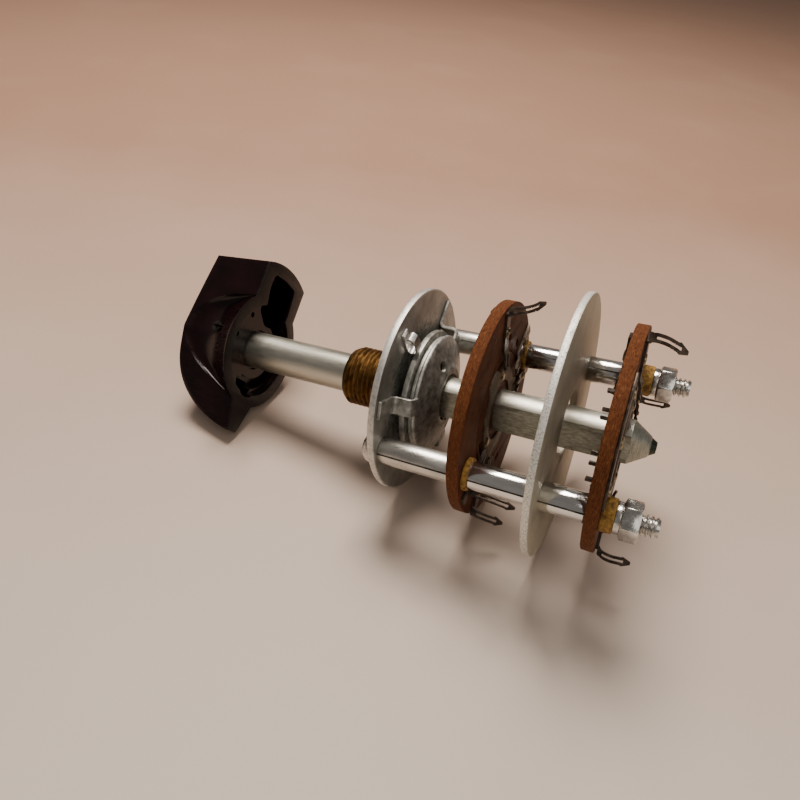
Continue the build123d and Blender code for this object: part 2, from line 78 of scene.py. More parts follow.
SIDES = ("near", "far")
RODS = {side: middle(f"rod_nut_{side}") for side in SIDES}
ROD_R = 1.42
ROD_CLEAR = 0.08
PLATE_BACK = span("front_spacer_near")[0]
SHAFT_R = radius("shaft")
SHAFT_FLAT = 2.0
NIB = 0.9
CONE = 2.5
SPIGOT_R = 4.1
STOP_CIRCLE = 8.2
CONE_START = span("shaft")[1] - NIB - CONE
FLAT_START = 5.05
KNOB_BACK = -29.2


# ------------------------------------------------------------------ mesh tools
@contextmanager
def editing(mesh):
    """The mesh opened for editing, and written back afterwards."""
    work = bmesh.new()
    work.from_mesh(mesh)
    yield work
    work.to_mesh(mesh)
    work.free()


def mesh_from(verts, faces):
    """A mesh with doubles merged and its faces turned outwards."""
    mesh = bpy.data.meshes.new("work")
    mesh.from_pydata([tuple(v) for v in verts], [], faces)
    with editing(mesh) as work:
        bmesh.ops.remove_doubles(work, verts=work.verts, dist=1e-4)
        bmesh.ops.dissolve_degenerate(work, edges=work.edges, dist=1e-5)
        bmesh.ops.delete(work, geom=[v for v in work.verts if not v.link_faces], context="VERTS")
        bmesh.ops.recalc_face_normals(work, faces=work.faces)
    return mesh


def rounded_edges(mesh, width, limit=35, segments=2):
    """Rounds the edges that turn by more than the limit, in degrees."""
    with editing(mesh) as work:
        steep = math.radians(limit)
        sharp = [e for e in work.edges if len(e.link_faces) == 2 and e.calc_face_angle(0) > steep]
        shape = {"segments": segments, "profile": 0.5, "affect": "EDGES", "clamp_overlap": True}
        bmesh.ops.bevel(work, geom=sharp, offset=width, **shape)
    return mesh


def placed(name, data):
    """An object of the data, in the scene."""
    made = bpy.data.objects.new(name, data)
    bpy.context.scene.collection.objects.link(made)
    return made


def flattened(holder):
    """The mesh of an object after its modifiers. The object is removed."""
    result = bpy.data.meshes.new_from_object(holder.evaluated_get(bpy.context.evaluated_depsgraph_get()))
    bpy.data.objects.remove(holder)
    return result


def cut(mesh, cutters):
    """The mesh less the cutters."""
    for cutter in cutters:
        holder, tool = placed("work", mesh), placed("cutter", cutter)
        boolean = holder.modifiers.new("cut", "BOOLEAN")
        boolean.operation = "DIFFERENCE"
        boolean.solver = "EXACT"
        boolean.object = tool
        mesh = flattened(holder)
        bpy.data.objects.remove(tool)
    return mesh


def publish(name, meshes, material, body, node, smooth=SMOOTH):
    """Joins the meshes into one finished piece, in metres, and hangs it on a body in a node's place."""
    final = bpy.data.meshes.new(name)
    with editing(final) as work:
        for mesh in meshes:
            work.from_mesh(mesh)
        for face in work.faces:
            face.material_index = 0
    final.transform(Matrix.Scale(MM, 4))
    final.materials.clear()
    final.materials.append(material)
    final.shade_smooth()
    final.set_sharp_from_angle(angle=smooth)
    piece = placed(name, final)
    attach(piece, body)
    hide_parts(node)


# ------------------------------------------------------------------ shapes
def soften(points, size, steps=3, closed=True):
    """A polyline with its corners rounded by up to size."""
    result = []
    count = len(points)
    for i, point in enumerate(points):
        here = Vector(point)
        if not closed and i in (0, count - 1):
            result.append(tuple(here))
            continue
        before = Vector(points[i - 1]) - here
        after = Vector(points[(i + 1) % count]) - here
        if min(before.length, after.length) < 1e-6:
            continue
        if before.angle(after) > math.radians(172):
            result.append(tuple(here))
            continue
        reach = min(size, 0.45 * before.length, 0.45 * after.length)
        start = here + before.normalized() * reach
        end = here + after.normalized() * reach
        for k in range(steps + 1):
            t = k / steps
            result.append(tuple(start * (1 - t) ** 2 + here * 2 * t * (1 - t) + end * t**2))
    return result


def lathe(profile, centre=(0, 0), steps=96):
    """A closed outline of (radius, y) points turned about an axis along Y."""
    verts = []
    for k in range(steps):
        turn = 2 * math.pi * k / steps
        for r, y in profile:
            verts.append((centre[0] + r * math.cos(turn), y, centre[1] + r * math.sin(turn)))
    count = len(profile)
    faces = []
    for k in range(steps):
        for i in range(count):
            a, b = k * count + i, k * count + (i + 1) % count
            c, d = ((k + 1) % steps) * count + (i + 1) % count, ((k + 1) % steps) * count + i
            faces.append((a, b, c, d))
    return mesh_from(verts, faces)


def tube(y0, y1, outer, inner, centre=(0, 0), edge=0.12, steps=64):
    """A ring or washer with softened edges."""
    outline = [(inner, y0), (outer, y0), (outer, y1), (inner, y1)]
    return lathe(soften(outline, edge), centre, steps)


def circle(r, centre=(0, 0), steps=96):
    """Points round a circle across the shaft."""
    return [(centre[0] + r * math.cos(2 * math.pi * k / steps),
             centre[1] + r * math.sin(2 * math.pi * k / steps)) for k in range(steps)]


def arc(r, start, end, steps=24):
    """Points on a circle about the shaft, from one angle to another in degrees."""
    return [around(r, start + (end - start) * k / steps) for k in range(steps + 1)]


def prism_faces(count):
    """The faces between two outlines of count points, and across each of them."""
    ends = [tuple(range(count)), tuple(range(2 * count - 1, count - 1, -1))]
    return ends + [(k, (k + 1) % count, count + (k + 1) % count, count + k) for k in range(count)]


def rod_holes():
    """The outlines of the holes for the two tie rods."""
    return [circle(ROD_R + ROD_CLEAR, RODS[side], 32) for side in SIDES]


def stamping(loops, y0, y1, edge=0.08):
    """A flat sheet across the shaft with the outline and holes in loops, and softened edges."""
    curve = bpy.data.curves.new("stamping", "CURVE")
    curve.dimensions = "2D"
    curve.fill_mode = "BOTH"
    curve.extrude = (y1 - y0) / 2 - edge
    curve.bevel_depth = edge
    curve.bevel_resolution = 1
    curve.offset = -edge
    for loop in loops:
        spline = curve.splines.new("POLY")
        spline.points.add(len(loop) - 1)
        for point, (x, z) in zip(spline.points, loop):
            point.co = (x, z, 0, 1)
        spline.use_cyclic_u = True
    mesh = flattened(placed("stamping", curve))
    mesh.transform(Matrix(((1, 0, 0, 0), (0, 0, -1, (y0 + y1) / 2), (0, 1, 0, 0), (0, 0, 0, 1))))
    with editing(mesh) as work:
        bmesh.ops.remove_doubles(work, verts=work.verts, dist=1e-3)
        bmesh.ops.recalc_face_normals(work, faces=work.faces)
    return mesh


def strip(path, width, thickness, angle, gaps=(), finger=0.3, edge=0.06, taper=None):
    """A bent strip of sheet at an angle round the shaft.

    path is its middle line as (outwards, y) or (outwards, y, sideways), width its breadth, gaps the
    stretches of its length that are slotted down the middle, and taper(t) its share of width.
    """
    path = [(*point, 0.0)[:3] for point in path]
    lengths = [0.0]
    for a, b in zip(path, path[1:]):
        lengths.append(lengths[-1] + math.dist(a, b))
    total = lengths[-1]
    marks = sorted(set(lengths) | {g for gap in gaps for g in gap if 0 < g < total})
    stations = []
    for mark in marks:
        i = max(k for k in range(len(path) - 1) if lengths[k] <= mark + 1e-9)
        share = (mark - lengths[i]) / (lengths[i + 1] - lengths[i])
        stations.append(Vector(path[i]).lerp(Vector(path[i + 1]), min(1.0, share)))
    columns = (-1, -finger, finger, 1) if gaps else (-1, 1)
    out, along = Vector(around(1, angle)), Vector(around(1, angle + 90))
    count = len(stations)
    verts = []
    for side in (-1, 1):
        for i, place in enumerate(stations):
            ahead = stations[min(i + 1, count - 1)] - stations[max(i - 1, 0)]
            normal = Vector((-ahead.y, ahead.x, 0)).normalized()
            spot = place + normal * side * thickness / 2
            half = width / 2 * (taper(marks[i] / total) if taper else 1)
            for column in columns:
                across = column * half + spot.z
                verts.append((out.x * spot.x + along.x * across, spot.y, out.y * spot.x + along.y * across))
    wide = len(columns)
    present = {}
    for i in range(count - 1):
        mid = (marks[i] + marks[i + 1]) / 2
        slotted = any(low < mid < high for low, high in gaps)
        for j in range(wide - 1):
            present[i, j] = not (slotted and j == 1)

    def vert(side, i, j):
        return (side * count + i) * wide + j

    faces = []
    for (i, j), there in present.items():
        if not there:
            continue
        ring = [(i, j), (i + 1, j), (i + 1, j + 1), (i, j + 1)]
        faces.append([vert(1, *c) for c in ring])
        faces.append([vert(0, *c) for c in reversed(ring)])
        beyond = [(i, j - 1), (i + 1, j), (i, j + 1), (i - 1, j)]
        for k, other in enumerate(beyond):
            if not present.get(other, False):
                a, b = ring[k], ring[(k + 1) % 4]
                faces.append([vert(0, *a), vert(0, *b), vert(1, *b), vert(1, *a)])
    return rounded_edges(mesh_from(verts, faces), edge, 50, 1)


# ------------------------------------------------------------------ node tools
class Graph:
    """Short calls for building a node tree."""

    def __init__(self, tree):
        self.tree = tree

    def node(self, kind, inputs=None, **settings):
        made = self.tree.nodes.new(kind)
        for key, value in settings.items():
            setattr(made, key, value)
        for key, value in (inputs or {}).items():
            self.put(made.inputs[key], value)
        return made

    def put(self, socket, value):
        if isinstance(value, bpy.types.NodeSocket):
            self.tree.links.new(value, socket)
        else:
            socket.default_value = value

    def math(self, operation, a, b=0.0, c=0.0):
        return self.node("ShaderNodeMath", {0: a, 1: b, 2: c}, operation=operation).outputs[0]

    def vector(self, operation, a, b=(0, 0, 0)):
        made = self.node("ShaderNodeVectorMath", {0: a, 1: b}, operation=operation)
        return made.outputs["Value"] if operation == "LENGTH" else made.outputs[0]


# ------------------------------------------------------------------ materials
class Finish(Graph):
    """A surface finish built on object coordinates. Lengths of patterns are given in mm."""

    def __init__(self, name, metallic, specular=0.5, coat=0.0):
        self.material = bpy.data.materials.new(name)
        self.material.use_nodes = True
        super().__init__(self.material.node_tree)
        self.shader = self.tree.nodes["Principled BSDF"]
        self.shader.inputs["Metallic"].default_value = metallic
        self.shader.inputs["Specular IOR Level"].default_value = specular
        self.shader.inputs["Coat Weight"].default_value = coat
        self.shader.inputs["Coat Roughness"].default_value = 0.12
        self.place = self.node("ShaderNodeTexCoord").outputs["Object"]

    def noise(self, size, detail=4.0, stretch=(1, 1, 1), rough=0.55):
        """Noise from 0 to 1 with features of about size mm, stretched along the axes."""
        scale = [1 / s for s in stretch]
        mapped = self.node("ShaderNodeMapping", {"Vector": self.place, "Scale": scale}).outputs[0]
        wanted = {"Vector": mapped, "Scale": 1 / (size * MM), "Detail": detail, "Roughness": rough}
        return self.node("ShaderNodeTexNoise", wanted).outputs["Fac"]

    def ramp(self, value, *stops):
        """Colours or greys at positions along a value."""
        made = self.node("ShaderNodeValToRGB", {"Fac": value})
        elements = made.color_ramp.elements
        while len(elements) < len(stops):
            elements.new(0.5)
        for element, (position, colour) in zip(elements, stops):
            element.position = position
            level = colour if isinstance(colour, tuple) else (colour,) * 3
            element.color = (*level, 1)
        return made.outputs["Color"]

    def mix(self, share, a, b):
        made = self.node("ShaderNodeMix", data_type="RGBA")
        self.put(made.inputs["Factor"], share)
        self.put(made.inputs["A"], a if isinstance(a, bpy.types.NodeSocket) else (*a, 1))
        self.put(made.inputs["B"], b if isinstance(b, bpy.types.NodeSocket) else (*b, 1))
        return made.outputs["Result"]

    def span(self, value, low, high, to_low=0.0, to_high=1.0):
        wanted = {"Value": value, "From Min": low, "From Max": high, "To Min": to_low, "To Max": to_high}
        return self.node("ShaderNodeMapRange", wanted).outputs[0]

    def axis(self, name):
        return self.node("ShaderNodeSeparateXYZ", {0: self.place}).outputs[name]

    def radius(self):
        """Distance from the shaft's axis, in metres."""
        return self.vector("LENGTH", self.vector("MULTIPLY", self.place, (1, 0, 1)))

    def colour(self, value):
        self.put(self.shader.inputs["Base Color"], value)

    def plain(self):
        """The colour set so far."""
        return self.shader.inputs["Base Color"].links[0].from_socket

    def roughness(self, value):
        self.put(self.shader.inputs["Roughness"], value)

    def bump(self, height, depth):
        """Relief of up to depth mm."""
        made = self.node("ShaderNodeBump", {"Height": height, "Distance": depth * MM, "Strength": 1.0})
        self.put(self.shader.inputs["Normal"], made.outputs[0])


def metal(name, dark, light, rough=(0.25, 0.45), size=3.0, stretch=(1, 1, 1), relief=0.01, grain=0.25,
          marks=0.25, share=1.0):
    """A plated or bare metal: patchy colour, fine grain and small dark marks. share is how metallic it is."""
    made = Finish(name, share)
    patches = made.noise(size, 5.0, stretch)
    fine = made.noise(grain, 3.0, stretch)
    base = made.ramp(patches, (0.32, dark), (0.68, light))
    spots = made.span(made.noise(size * 0.45, 6.0, stretch, 0.7), 0.60, 0.74, 0.0, marks)
    made.colour(made.mix(spots, base, tuple(0.35 * c for c in dark)))
    made.roughness(made.span(made.math("ADD", patches, fine), 0.7, 1.3, *rough))
    made.bump(made.math("ADD", fine, made.math("MULTIPLY", patches, 2.0)), relief)
    return made


def knob_finish():
    """Glossy moulding, duller and specked on the back."""
    made = Finish("moulded_bakelite", 0.0, 0.22, coat=0.12)
    clouds = made.noise(4.0, 5.0)
    deep = made.ramp(clouds, (0.3, (0.0035, 0.0009, 0.0013)), (0.75, (0.0125, 0.0026, 0.0036)))
    back = made.span(made.axis("Y"), (KNOB_BACK - 0.5) * MM, (KNOB_BACK - 0.05) * MM)
    specks = made.span(made.noise(0.35, 4.0), 0.62, 0.75, 0.0, 0.5)
    worn = made.mix(specks, (0.008, 0.0055, 0.0055), (0.026, 0.020, 0.019))
    made.colour(made.mix(back, deep, worn))
    scratches = made.noise(0.5, 4.0, (1, 7, 1))
    smooth = made.span(scratches, 0.4, 0.8, 0.16, 0.34)
    made.roughness(made.math("ADD", smooth, made.math("MULTIPLY", back, 0.25)))
    made.bump(made.math("ADD", clouds, made.math("MULTIPLY", scratches, 0.3)), 0.03)
    return made.material


def shaft_finish():
    """Drawn along its length, scored on the flats, turned on the cone and dark on the tip."""
    made = metal("drawn_zinc", (0.40, 0.39, 0.325), (0.66, 0.645, 0.56), (0.34, 0.50), 2.2, (1, 9, 1),
                 0.012, 0.16, 0.2)
    along = made.axis("Y")
    flat = made.span(along, (FLAT_START + 0.05) * MM, (FLAT_START + 0.25) * MM)
    side = made.span(made.math("ABSOLUTE", made.axis("X")), (SHAFT_FLAT - 0.06) * MM,
                     (SHAFT_FLAT - 0.01) * MM)
    scratch = made.noise(0.35, 6.0, (1, 3, 1), 0.7)
    scored = made.ramp(scratch, (0.35, (0.21, 0.225, 0.185)), (0.65, (0.43, 0.44, 0.38)))
    coloured = made.mix(made.math("MULTIPLY", flat, side), made.plain(), scored)
    rings = made.noise(0.16, 4.0, (8, 0.5, 8), 0.7)
    cone = made.span(along, CONE_START * MM, (CONE_START + 0.1) * MM)
    dull = made.ramp(rings, (0.35, (0.19, 0.195, 0.16)), (0.62, (0.50, 0.50, 0.43)))
    coloured = made.mix(made.math("MULTIPLY", cone, 0.85), coloured, dull)
    nib_start = CONE_START + CONE
    tip = made.span(along, (nib_start + 0.05) * MM, (nib_start + 0.2) * MM)
    made.colour(made.mix(tip, coloured, (0.05, 0.06, 0.045)))
    return made.material


def brass_finish():
    """Aged brass, nearly black in the valleys of its thread."""
    made = metal("aged_brass", (0.075, 0.037, 0.012), (0.28, 0.145, 0.042), (0.40, 0.6), 1.1, (1, 1, 1),
                 0.012, 0.2, 0.5)
    rim = radius("bushing")
    crest = made.span(made.radius(), (rim - 0.51) * MM, (rim - 0.08) * MM)
    made.colour(made.mix(crest, (0.030, 0.016, 0.006), made.plain()))
    return made.material


def plate_finish(rim):
    """Dull sheet, blotched round the index mechanism, with a brighter worn rim."""
    made = metal("dull_zinc", (0.22, 0.225, 0.20), (0.50, 0.49, 0.45), (0.42, 0.60), 5.0, (1, 1, 1),
                 0.02, 0.22, 0.3, 0.85)
    blots = made.span(made.noise(0.9, 6.0, rough=0.75), 0.45, 0.62, 0.0, 0.85)
    inner = made.math("MULTIPLY", blots, made.span(made.radius(), (rim - 2.4) * MM, (rim - 5.4) * MM))
    face = made.mix(inner, made.plain(), (0.10, 0.115, 0.085))
    outer = made.span(made.radius(), (rim - 0.35) * MM, (rim - 0.05) * MM)
    worn = made.math("MULTIPLY", outer, made.span(blots, 0.0, 0.85, 0.75, 0.25))
    made.colour(made.mix(worn, face, (0.80, 0.78, 0.74)))
    return made.material


def phenolic_finish(rim):
    """Paper laminate: brown faces with fibres, and a paler speckled cut edge."""
    made = Finish("phenolic_board", 0.0, 0.10)
    clouds = made.noise(3.0, 5.0)
    fibres = made.noise(0.30, 4.0, (3, 1, 1), 0.7)
    face = made.ramp(clouds, (0.3, (0.050, 0.017, 0.009)), (0.7, (0.115, 0.040, 0.020)))
    face = made.mix(made.span(fibres, 0.55, 0.75, 0.0, 0.35), face, (0.20, 0.085, 0.042))
    layers = made.noise(0.12, 3.0, (6, 1, 6), 0.7)
    edge = made.ramp(layers, (0.3, (0.085, 0.026, 0.009)), (0.58, (0.17, 0.056, 0.019)),
                     (0.82, (0.46, 0.20, 0.07)))
    pits = made.span(made.noise(0.55, 5.0), 0.58, 0.70, 0.0, 0.7)
    edge = made.mix(pits, edge, (0.050, 0.013, 0.005))
    cut_edge = made.span(made.radius(), (rim - 0.10) * MM, (rim - 0.02) * MM)
    made.colour(made.mix(cut_edge, face, edge))
    made.roughness(made.span(fibres, 0.3, 0.8, 0.5, 0.72))
    ridges = made.math("MULTIPLY", made.math("MULTIPLY", cut_edge, layers), 2.5)
    made.bump(made.math("ADD", fibres, ridges), 0.09)
    return made.material


def fibre_finish():
    """Rough amber fibre."""
    made = Finish("amber_fibre", 0.0, 0.4)
    clouds = made.noise(0.55, 5.0)
    fibres = made.noise(0.2, 5.0, (1, 0.6, 2), 0.75)
    base = made.ramp(clouds, (0.36, (0.14, 0.060, 0.008)), (0.62, (0.44, 0.240, 0.040)))
    made.colour(made.mix(made.span(fibres, 0.55, 0.7, 0.0, 0.6), base, (0.66, 0.46, 0.15)))
    made.roughness(made.span(fibres, 0.3, 0.8, 0.45, 0.70))
    made.bump(made.math("ADD", fibres, clouds), 0.16)
    return made.material


def shield_finish(rim):
    """Dull oxidised sheet, speckled all over, with dark flecks along its bright rim."""
    made = Finish("dull_aluminium", 0.72)
    clouds = made.noise(6.0, 5.0)
    fine = made.noise(0.18, 3.0)
    streaks = made.noise(0.6, 5.0, (9, 1, 1), 0.7)
    base = made.ramp(clouds, (0.3, (0.42, 0.385, 0.29)), (0.7, (0.60, 0.56, 0.44)))
    base = made.mix(made.span(streaks, 0.56, 0.72, 0.0, 0.3), base, (0.72, 0.69, 0.58))
    specks = made.span(made.noise(0.35, 5.0, rough=0.7), 0.56, 0.68, 0.0, 0.55)
    base = made.mix(specks, base, (0.80, 0.77, 0.66))
    spots = made.span(made.noise(0.9, 6.0, rough=0.75), 0.60, 0.70, 0.0, 0.55)
    base = made.mix(spots, base, (0.24, 0.23, 0.17))
    worn = made.span(made.radius(), (rim - 0.25) * MM, (rim - 0.05) * MM)
    flecks = made.span(made.noise(0.22, 5.0, rough=0.7), 0.50, 0.62, 0.0, 0.75)
    bright = made.mix(flecks, (0.82, 0.81, 0.75), (0.26, 0.26, 0.21))
    made.colour(made.mix(worn, base, bright))
    made.roughness(made.span(made.math("ADD", clouds, fine), 0.7, 1.3, 0.46, 0.66))
    relief = made.math("ADD", made.math("ADD", fine, streaks), made.math("MULTIPLY", spots, 1.5))
    made.bump(relief, 0.035)
    return made.material


BAKELITE = knob_finish()
ZINC_SHAFT = shaft_finish()
BRASS = brass_finish()
ZINC_PLATE = plate_finish(radius("front_plate"))
STAMPED = metal("stamped_steel", (0.24, 0.245, 0.215), (0.60, 0.59, 0.55), (0.42, 0.60), 1.0,
                marks=0.9, share=0.85).material
TAB = metal("bright_steel", (0.60, 0.59, 0.56), (0.84, 0.83, 0.80), (0.30, 0.45), 1.2).material
SCREW = metal("blackened_steel", (0.020, 0.018, 0.017), (0.075, 0.070, 0.065), (0.3, 0.5), 0.8).material
BALL = metal("ball_steel", (0.60, 0.60, 0.60), (0.80, 0.80, 0.80), (0.06, 0.16), 1.0, marks=0.1).material
ROD = metal("rod_steel", (0.42, 0.41, 0.38), (0.72, 0.70, 0.66), (0.20, 0.38), 1.0, (1, 3, 1)).material
TUBE = metal("bright_tube", (0.66, 0.65, 0.63), (0.88, 0.87, 0.85), (0.07, 0.20), 1.2, (1, 8, 1),
             0.006, 0.1, 0.15).material
DULL_TUBE = metal("dull_tube", (0.46, 0.45, 0.41), (0.72, 0.70, 0.65), (0.24, 0.42), 1.2, (1, 5, 1),
                  0.01, 0.1, 0.25).material
FIBRE = fibre_finish()
NUT = metal("nut_nickel", (0.46, 0.45, 0.42), (0.80, 0.79, 0.75), (0.14, 0.30), 0.9, marks=0.45).material
SHIELD = shield_finish(radius("shield_disc"))
PHENOLIC = phenolic_finish(radius("wafer_1_stator"))
CONTACT = metal("tarnished_contact", (0.018, 0.013, 0.010), (0.100, 0.072, 0.052), (0.30, 0.50), 0.8,
                marks=0.6, share=0.6).material
BLADE = metal("tarnished_blade", (0.055, 0.038, 0.026), (0.17, 0.125, 0.09), (0.50, 0.68), 1.1,
              marks=0.5, share=0.3).material
RIVET = metal("rivet_brass", (0.10, 0.075, 0.045), (0.36, 0.29, 0.18), (0.2, 0.4), 0.6).material


# ------------------------------------------------------------------ geometry nodes
def tree_with(name, sizes):
    """An empty geometry tree with the named sizes and a finish as its inputs."""
    tree = bpy.data.node_groups.new(name, "GeometryNodeTree")
    add = tree.interface.new_socket
    add("Geometry", in_out="INPUT", socket_type="NodeSocketGeometry")
    for label, value in sizes.items():
        add(label, in_out="INPUT", socket_type="NodeSocketFloat").default_value = value
    add("Finish", in_out="INPUT", socket_type="NodeSocketMaterial")
    add("Geometry", in_out="OUTPUT", socket_type="NodeSocketGeometry")
    return tree


def close_tree(graph, geometry, given):
    """Ends a tree in Realize Instances and Set Material."""
    real = graph.node("GeometryNodeRealizeInstances", {0: geometry}).outputs[0]
    dressed = graph.node("GeometryNodeSetMaterial", {"Geometry": real, "Material": given.outputs["Finish"]})
    graph.node("NodeGroupOutput", {0: dressed.outputs[0]})


def thread_tree():
    """Cuts a right-hand thread into the outer wall of a turned piece."""
    sizes = {"Centre X": 0.0, "Centre Z": 0.0, "Pitch": 0.8, "Depth": 0.4, "Start": 0.0, "End": 10.0,
             "Crest": 4.76}
    tree = tree_with("thread", sizes)
    g = Graph(tree)
    given = g.node("NodeGroupInput")
    centre_x, centre_z, pitch, depth, start, end, crest = [given.outputs[name] for name in sizes]
    place = g.node("GeometryNodeInputPosition").outputs[0]
    across, y, up = g.node("ShaderNodeSeparateXYZ", {0: place}).outputs
    x = g.math("SUBTRACT", across, centre_x)
    z = g.math("SUBTRACT", up, centre_z)
    away = g.math("SQRT", g.math("ADD", g.math("MULTIPLY", x, x), g.math("MULTIPLY", z, z)))
    turn = g.math("DIVIDE", g.math("ARCTAN2", z, x), 2 * math.pi)
    saw = g.math("FRACT", g.math("ADD", g.math("DIVIDE", y, pitch), turn))
    wave = g.math("ABSOLUTE", g.math("SUBTRACT", g.math("MULTIPLY", saw, 2.0), 1.0))
    valley = g.node("ShaderNodeMapRange", {0: wave, 1: 0.12, 2: 0.85, 3: 0.0, 4: 1.0}).outputs[0]
    begins = g.node("ShaderNodeMapRange", {0: y, 1: start, 2: g.math("ADD", start, pitch)}).outputs[0]
    ends = g.node("ShaderNodeMapRange", {0: y, 1: end, 2: g.math("SUBTRACT", end, pitch)}).outputs[0]
    outer = g.math("GREATER_THAN", away, g.math("SUBTRACT", crest, 0.05))
    shape = g.math("MULTIPLY", valley, g.math("MULTIPLY", begins, ends))
    cut_in = g.math("MULTIPLY", shape, g.math("MULTIPLY", outer, depth))
    share = g.math("DIVIDE", g.math("MULTIPLY", cut_in, -1.0), away)
    offset = g.node("ShaderNodeCombineXYZ", {0: g.math("MULTIPLY", x, share),
                                             2: g.math("MULTIPLY", z, share)})
    moved = {"Geometry": given.outputs["Geometry"], "Offset": offset.outputs[0]}
    close_tree(g, g.node("GeometryNodeSetPosition", moved).outputs[0], given)
    return tree


def eyelet_tree():
    """Rolls an eyelet's rim, a ring of round wire lying across the shaft, at every point."""
    tree = tree_with("eyelet_rims", {"Rim Radius": 0.62, "Wire Radius": 0.22})
    g = Graph(tree)
    given = g.node("NodeGroupInput")
    ring = "GeometryNodeCurvePrimitiveCircle"
    path = g.node(ring, {"Resolution": 20, "Radius": given.outputs["Rim Radius"]})
    wire = g.node(ring, {"Resolution": 8, "Radius": given.outputs["Wire Radius"]})
    rim = g.node("GeometryNodeCurveToMesh", {"Curve": path.outputs[0], "Profile Curve": wire.outputs[0]})
    turned = g.node("GeometryNodeTransform", {"Geometry": rim.outputs[0], "Rotation": (math.pi / 2, 0, 0)})
    laid_out = {"Points": given.outputs["Geometry"], "Instance": turned.outputs[0]}
    close_tree(g, g.node("GeometryNodeInstanceOnPoints", laid_out).outputs[0], given)
    return tree


THREAD = thread_tree()
EYELET = eyelet_tree()


def through_tree(mesh, tree, finish, **sizes):
    """The mesh after a geometry tree, with its inputs set by name."""
    holder = placed("work", mesh)
    modifier = holder.modifiers.new("shape", "NODES")
    modifier.node_group = tree
    for item in tree.interface.items_tree:
        key = item.name.replace(" ", "_").lower()
        if key in sizes:
            modifier[item.identifier] = float(sizes[key])
        if key == "finish":
            modifier[item.identifier] = finish
    return flattened(holder)


# ------------------------------------------------------------------ shaft and bushing
def shaft():
    """A round bar with two flats behind FLAT_START, a cone and a nib."""
    front, back = span("shaft")
    edge = 0.3
    whole = SHAFT_R + 1
    nib_start = CONE_START + CONE
    stations = [(front, SHAFT_R - edge, whole), (front + edge, SHAFT_R, whole), (FLAT_START, SHAFT_R, whole),
                (FLAT_START + 0.12, SHAFT_R, SHAFT_FLAT), (CONE_START, SHAFT_R, SHAFT_FLAT),
                (nib_start, 1.5, SHAFT_FLAT), (nib_start + 0.1, 1.3, SHAFT_FLAT), (back, 0.8, SHAFT_FLAT)]
    steps = 120
    verts = [(0, front, 0)]
    for y, r, flat in stations:
        for k in range(steps):
            x, z = around(r, 360 * k / steps)
            verts.append((max(-flat, min(flat, x)), y, z))
    verts.append((0, back + 0.05, 0))
    faces = [(0, 1 + (k + 1) % steps, 1 + k) for k in range(steps)]
    for i in range(len(stations) - 1):
        for k in range(steps):
            a, b = 1 + i * steps + k, 1 + i * steps + (k + 1) % steps
            faces.append((a, b, b + steps, a + steps))
    last = 1 + (len(stations) - 1) * steps
    faces += [(last + k, last + (k + 1) % steps, len(verts) - 1) for k in range(steps)]
    bar = mesh_from(verts, faces)
    publish("shaft_turned", [bar], ZINC_SHAFT, "rotor", "shaft", math.radians(24))


def bushing():
    """A sleeve threaded in front of the plate, with a reduced end through it."""
    front, back = span("bushing")
    crest = radius("bushing")
    chamfer = 0.7
    pitch = 0.794
    bore = SHAFT_R + 0.04
    rows = int(-front / (pitch / 10))
    threaded = [(crest, front + chamfer - (front + chamfer) * i / rows) for i in range(rows + 1)]
    profile = [(bore + 0.2, front), (crest - chamfer * 0.8, front), *threaded]
    profile += [(SPIGOT_R, 0), (SPIGOT_R, back), (bore, back), (bore, front + 0.2)]
    sizes = {"pitch": pitch, "depth": 0.30, "start": front, "end": -0.5, "crest": crest}
    sleeve = through_tree(lathe(profile, steps=110), THREAD, BRASS, **sizes)
    publish("bushing_threaded", [sleeve], BRASS, "frame", "bushing")


def pillar(r, y0, y1, spot, edge):
    """A round stud across a sheet, with softened ends."""
    return lathe(soften([(0, y0), (r, y0), (r, y1), (0, y1)], edge), spot, 24)


def front_plate():
    """The sheet that seats on the panel, with two raised stops for the index plate's lug."""
    outline = [circle(radius("front_plate"), steps=180), circle(SPIGOT_R, steps=64), *rod_holes()]
    sheet = stamping(outline, 0, PLATE_BACK, 0.14)
    stops = [pillar(0.8, 0.95, 1.8, around(STOP_CIRCLE, a), 0.2) for a in (191.3, 274.7)]
    publish("front_plate_sheet", [sheet, *stops], ZINC_PLATE, "frame", "front_plate")


# ------------------------------------------------------------------ index mechanism
BALL_CIRCLE = 6.0
BALL_ANGLES = (83.0, 263.0)
STRAP_ANGLES = (23.0, 143.0, 263.0)
SPRING_HOLE_R = 3.7


def index_plate():
    """The turning disc with a pocket for the balls at each position, and its stop lug."""
    y1 = span("index_plate")[1]
    y0 = y1 - 0.85
    pockets = [circle(0.8, around(BALL_CIRCLE, BALL_ANGLES[0] + 30 * i), 20) for i in range(12)]
    outline = [circle(radius("index_plate"), steps=120), circle(SHAFT_R, steps=48), *pockets]
    pieces = [stamping(outline, y0, y1, 0.12), pillar(0.8, 1.2, y0, around(STOP_CIRCLE, 203), 0.15)]
    publish("index_plate_disc", pieces, STAMPED, "rotor", "index_plate")


def balls_and_cage():
    """Two balls, and the disc that keeps them in their places."""
    windows = [circle(1.0, around(BALL_CIRCLE, a), 24) for a in BALL_ANGLES]
    outline = [circle(9.0, steps=120), circle(SPRING_HOLE_R, steps=64), *windows]
    cage = stamping(outline, *span("ball_cage"), 0.08)
    publish("ball_cage_disc", [cage], STAMPED, "frame", "ball_cage")
    ball_y = sum(span("detent_balls")) / 2
    half_circle = []
    for k in range(17):
        r, height = around(0.95, 180 * (k / 16 - 0.5))
        half_circle.append((r, ball_y + height))
    balls = [lathe(half_circle, around(BALL_CIRCLE, a), 28) for a in BALL_ANGLES]
    publish("detent_balls_polished", balls, BALL, "frame", "detent_balls")


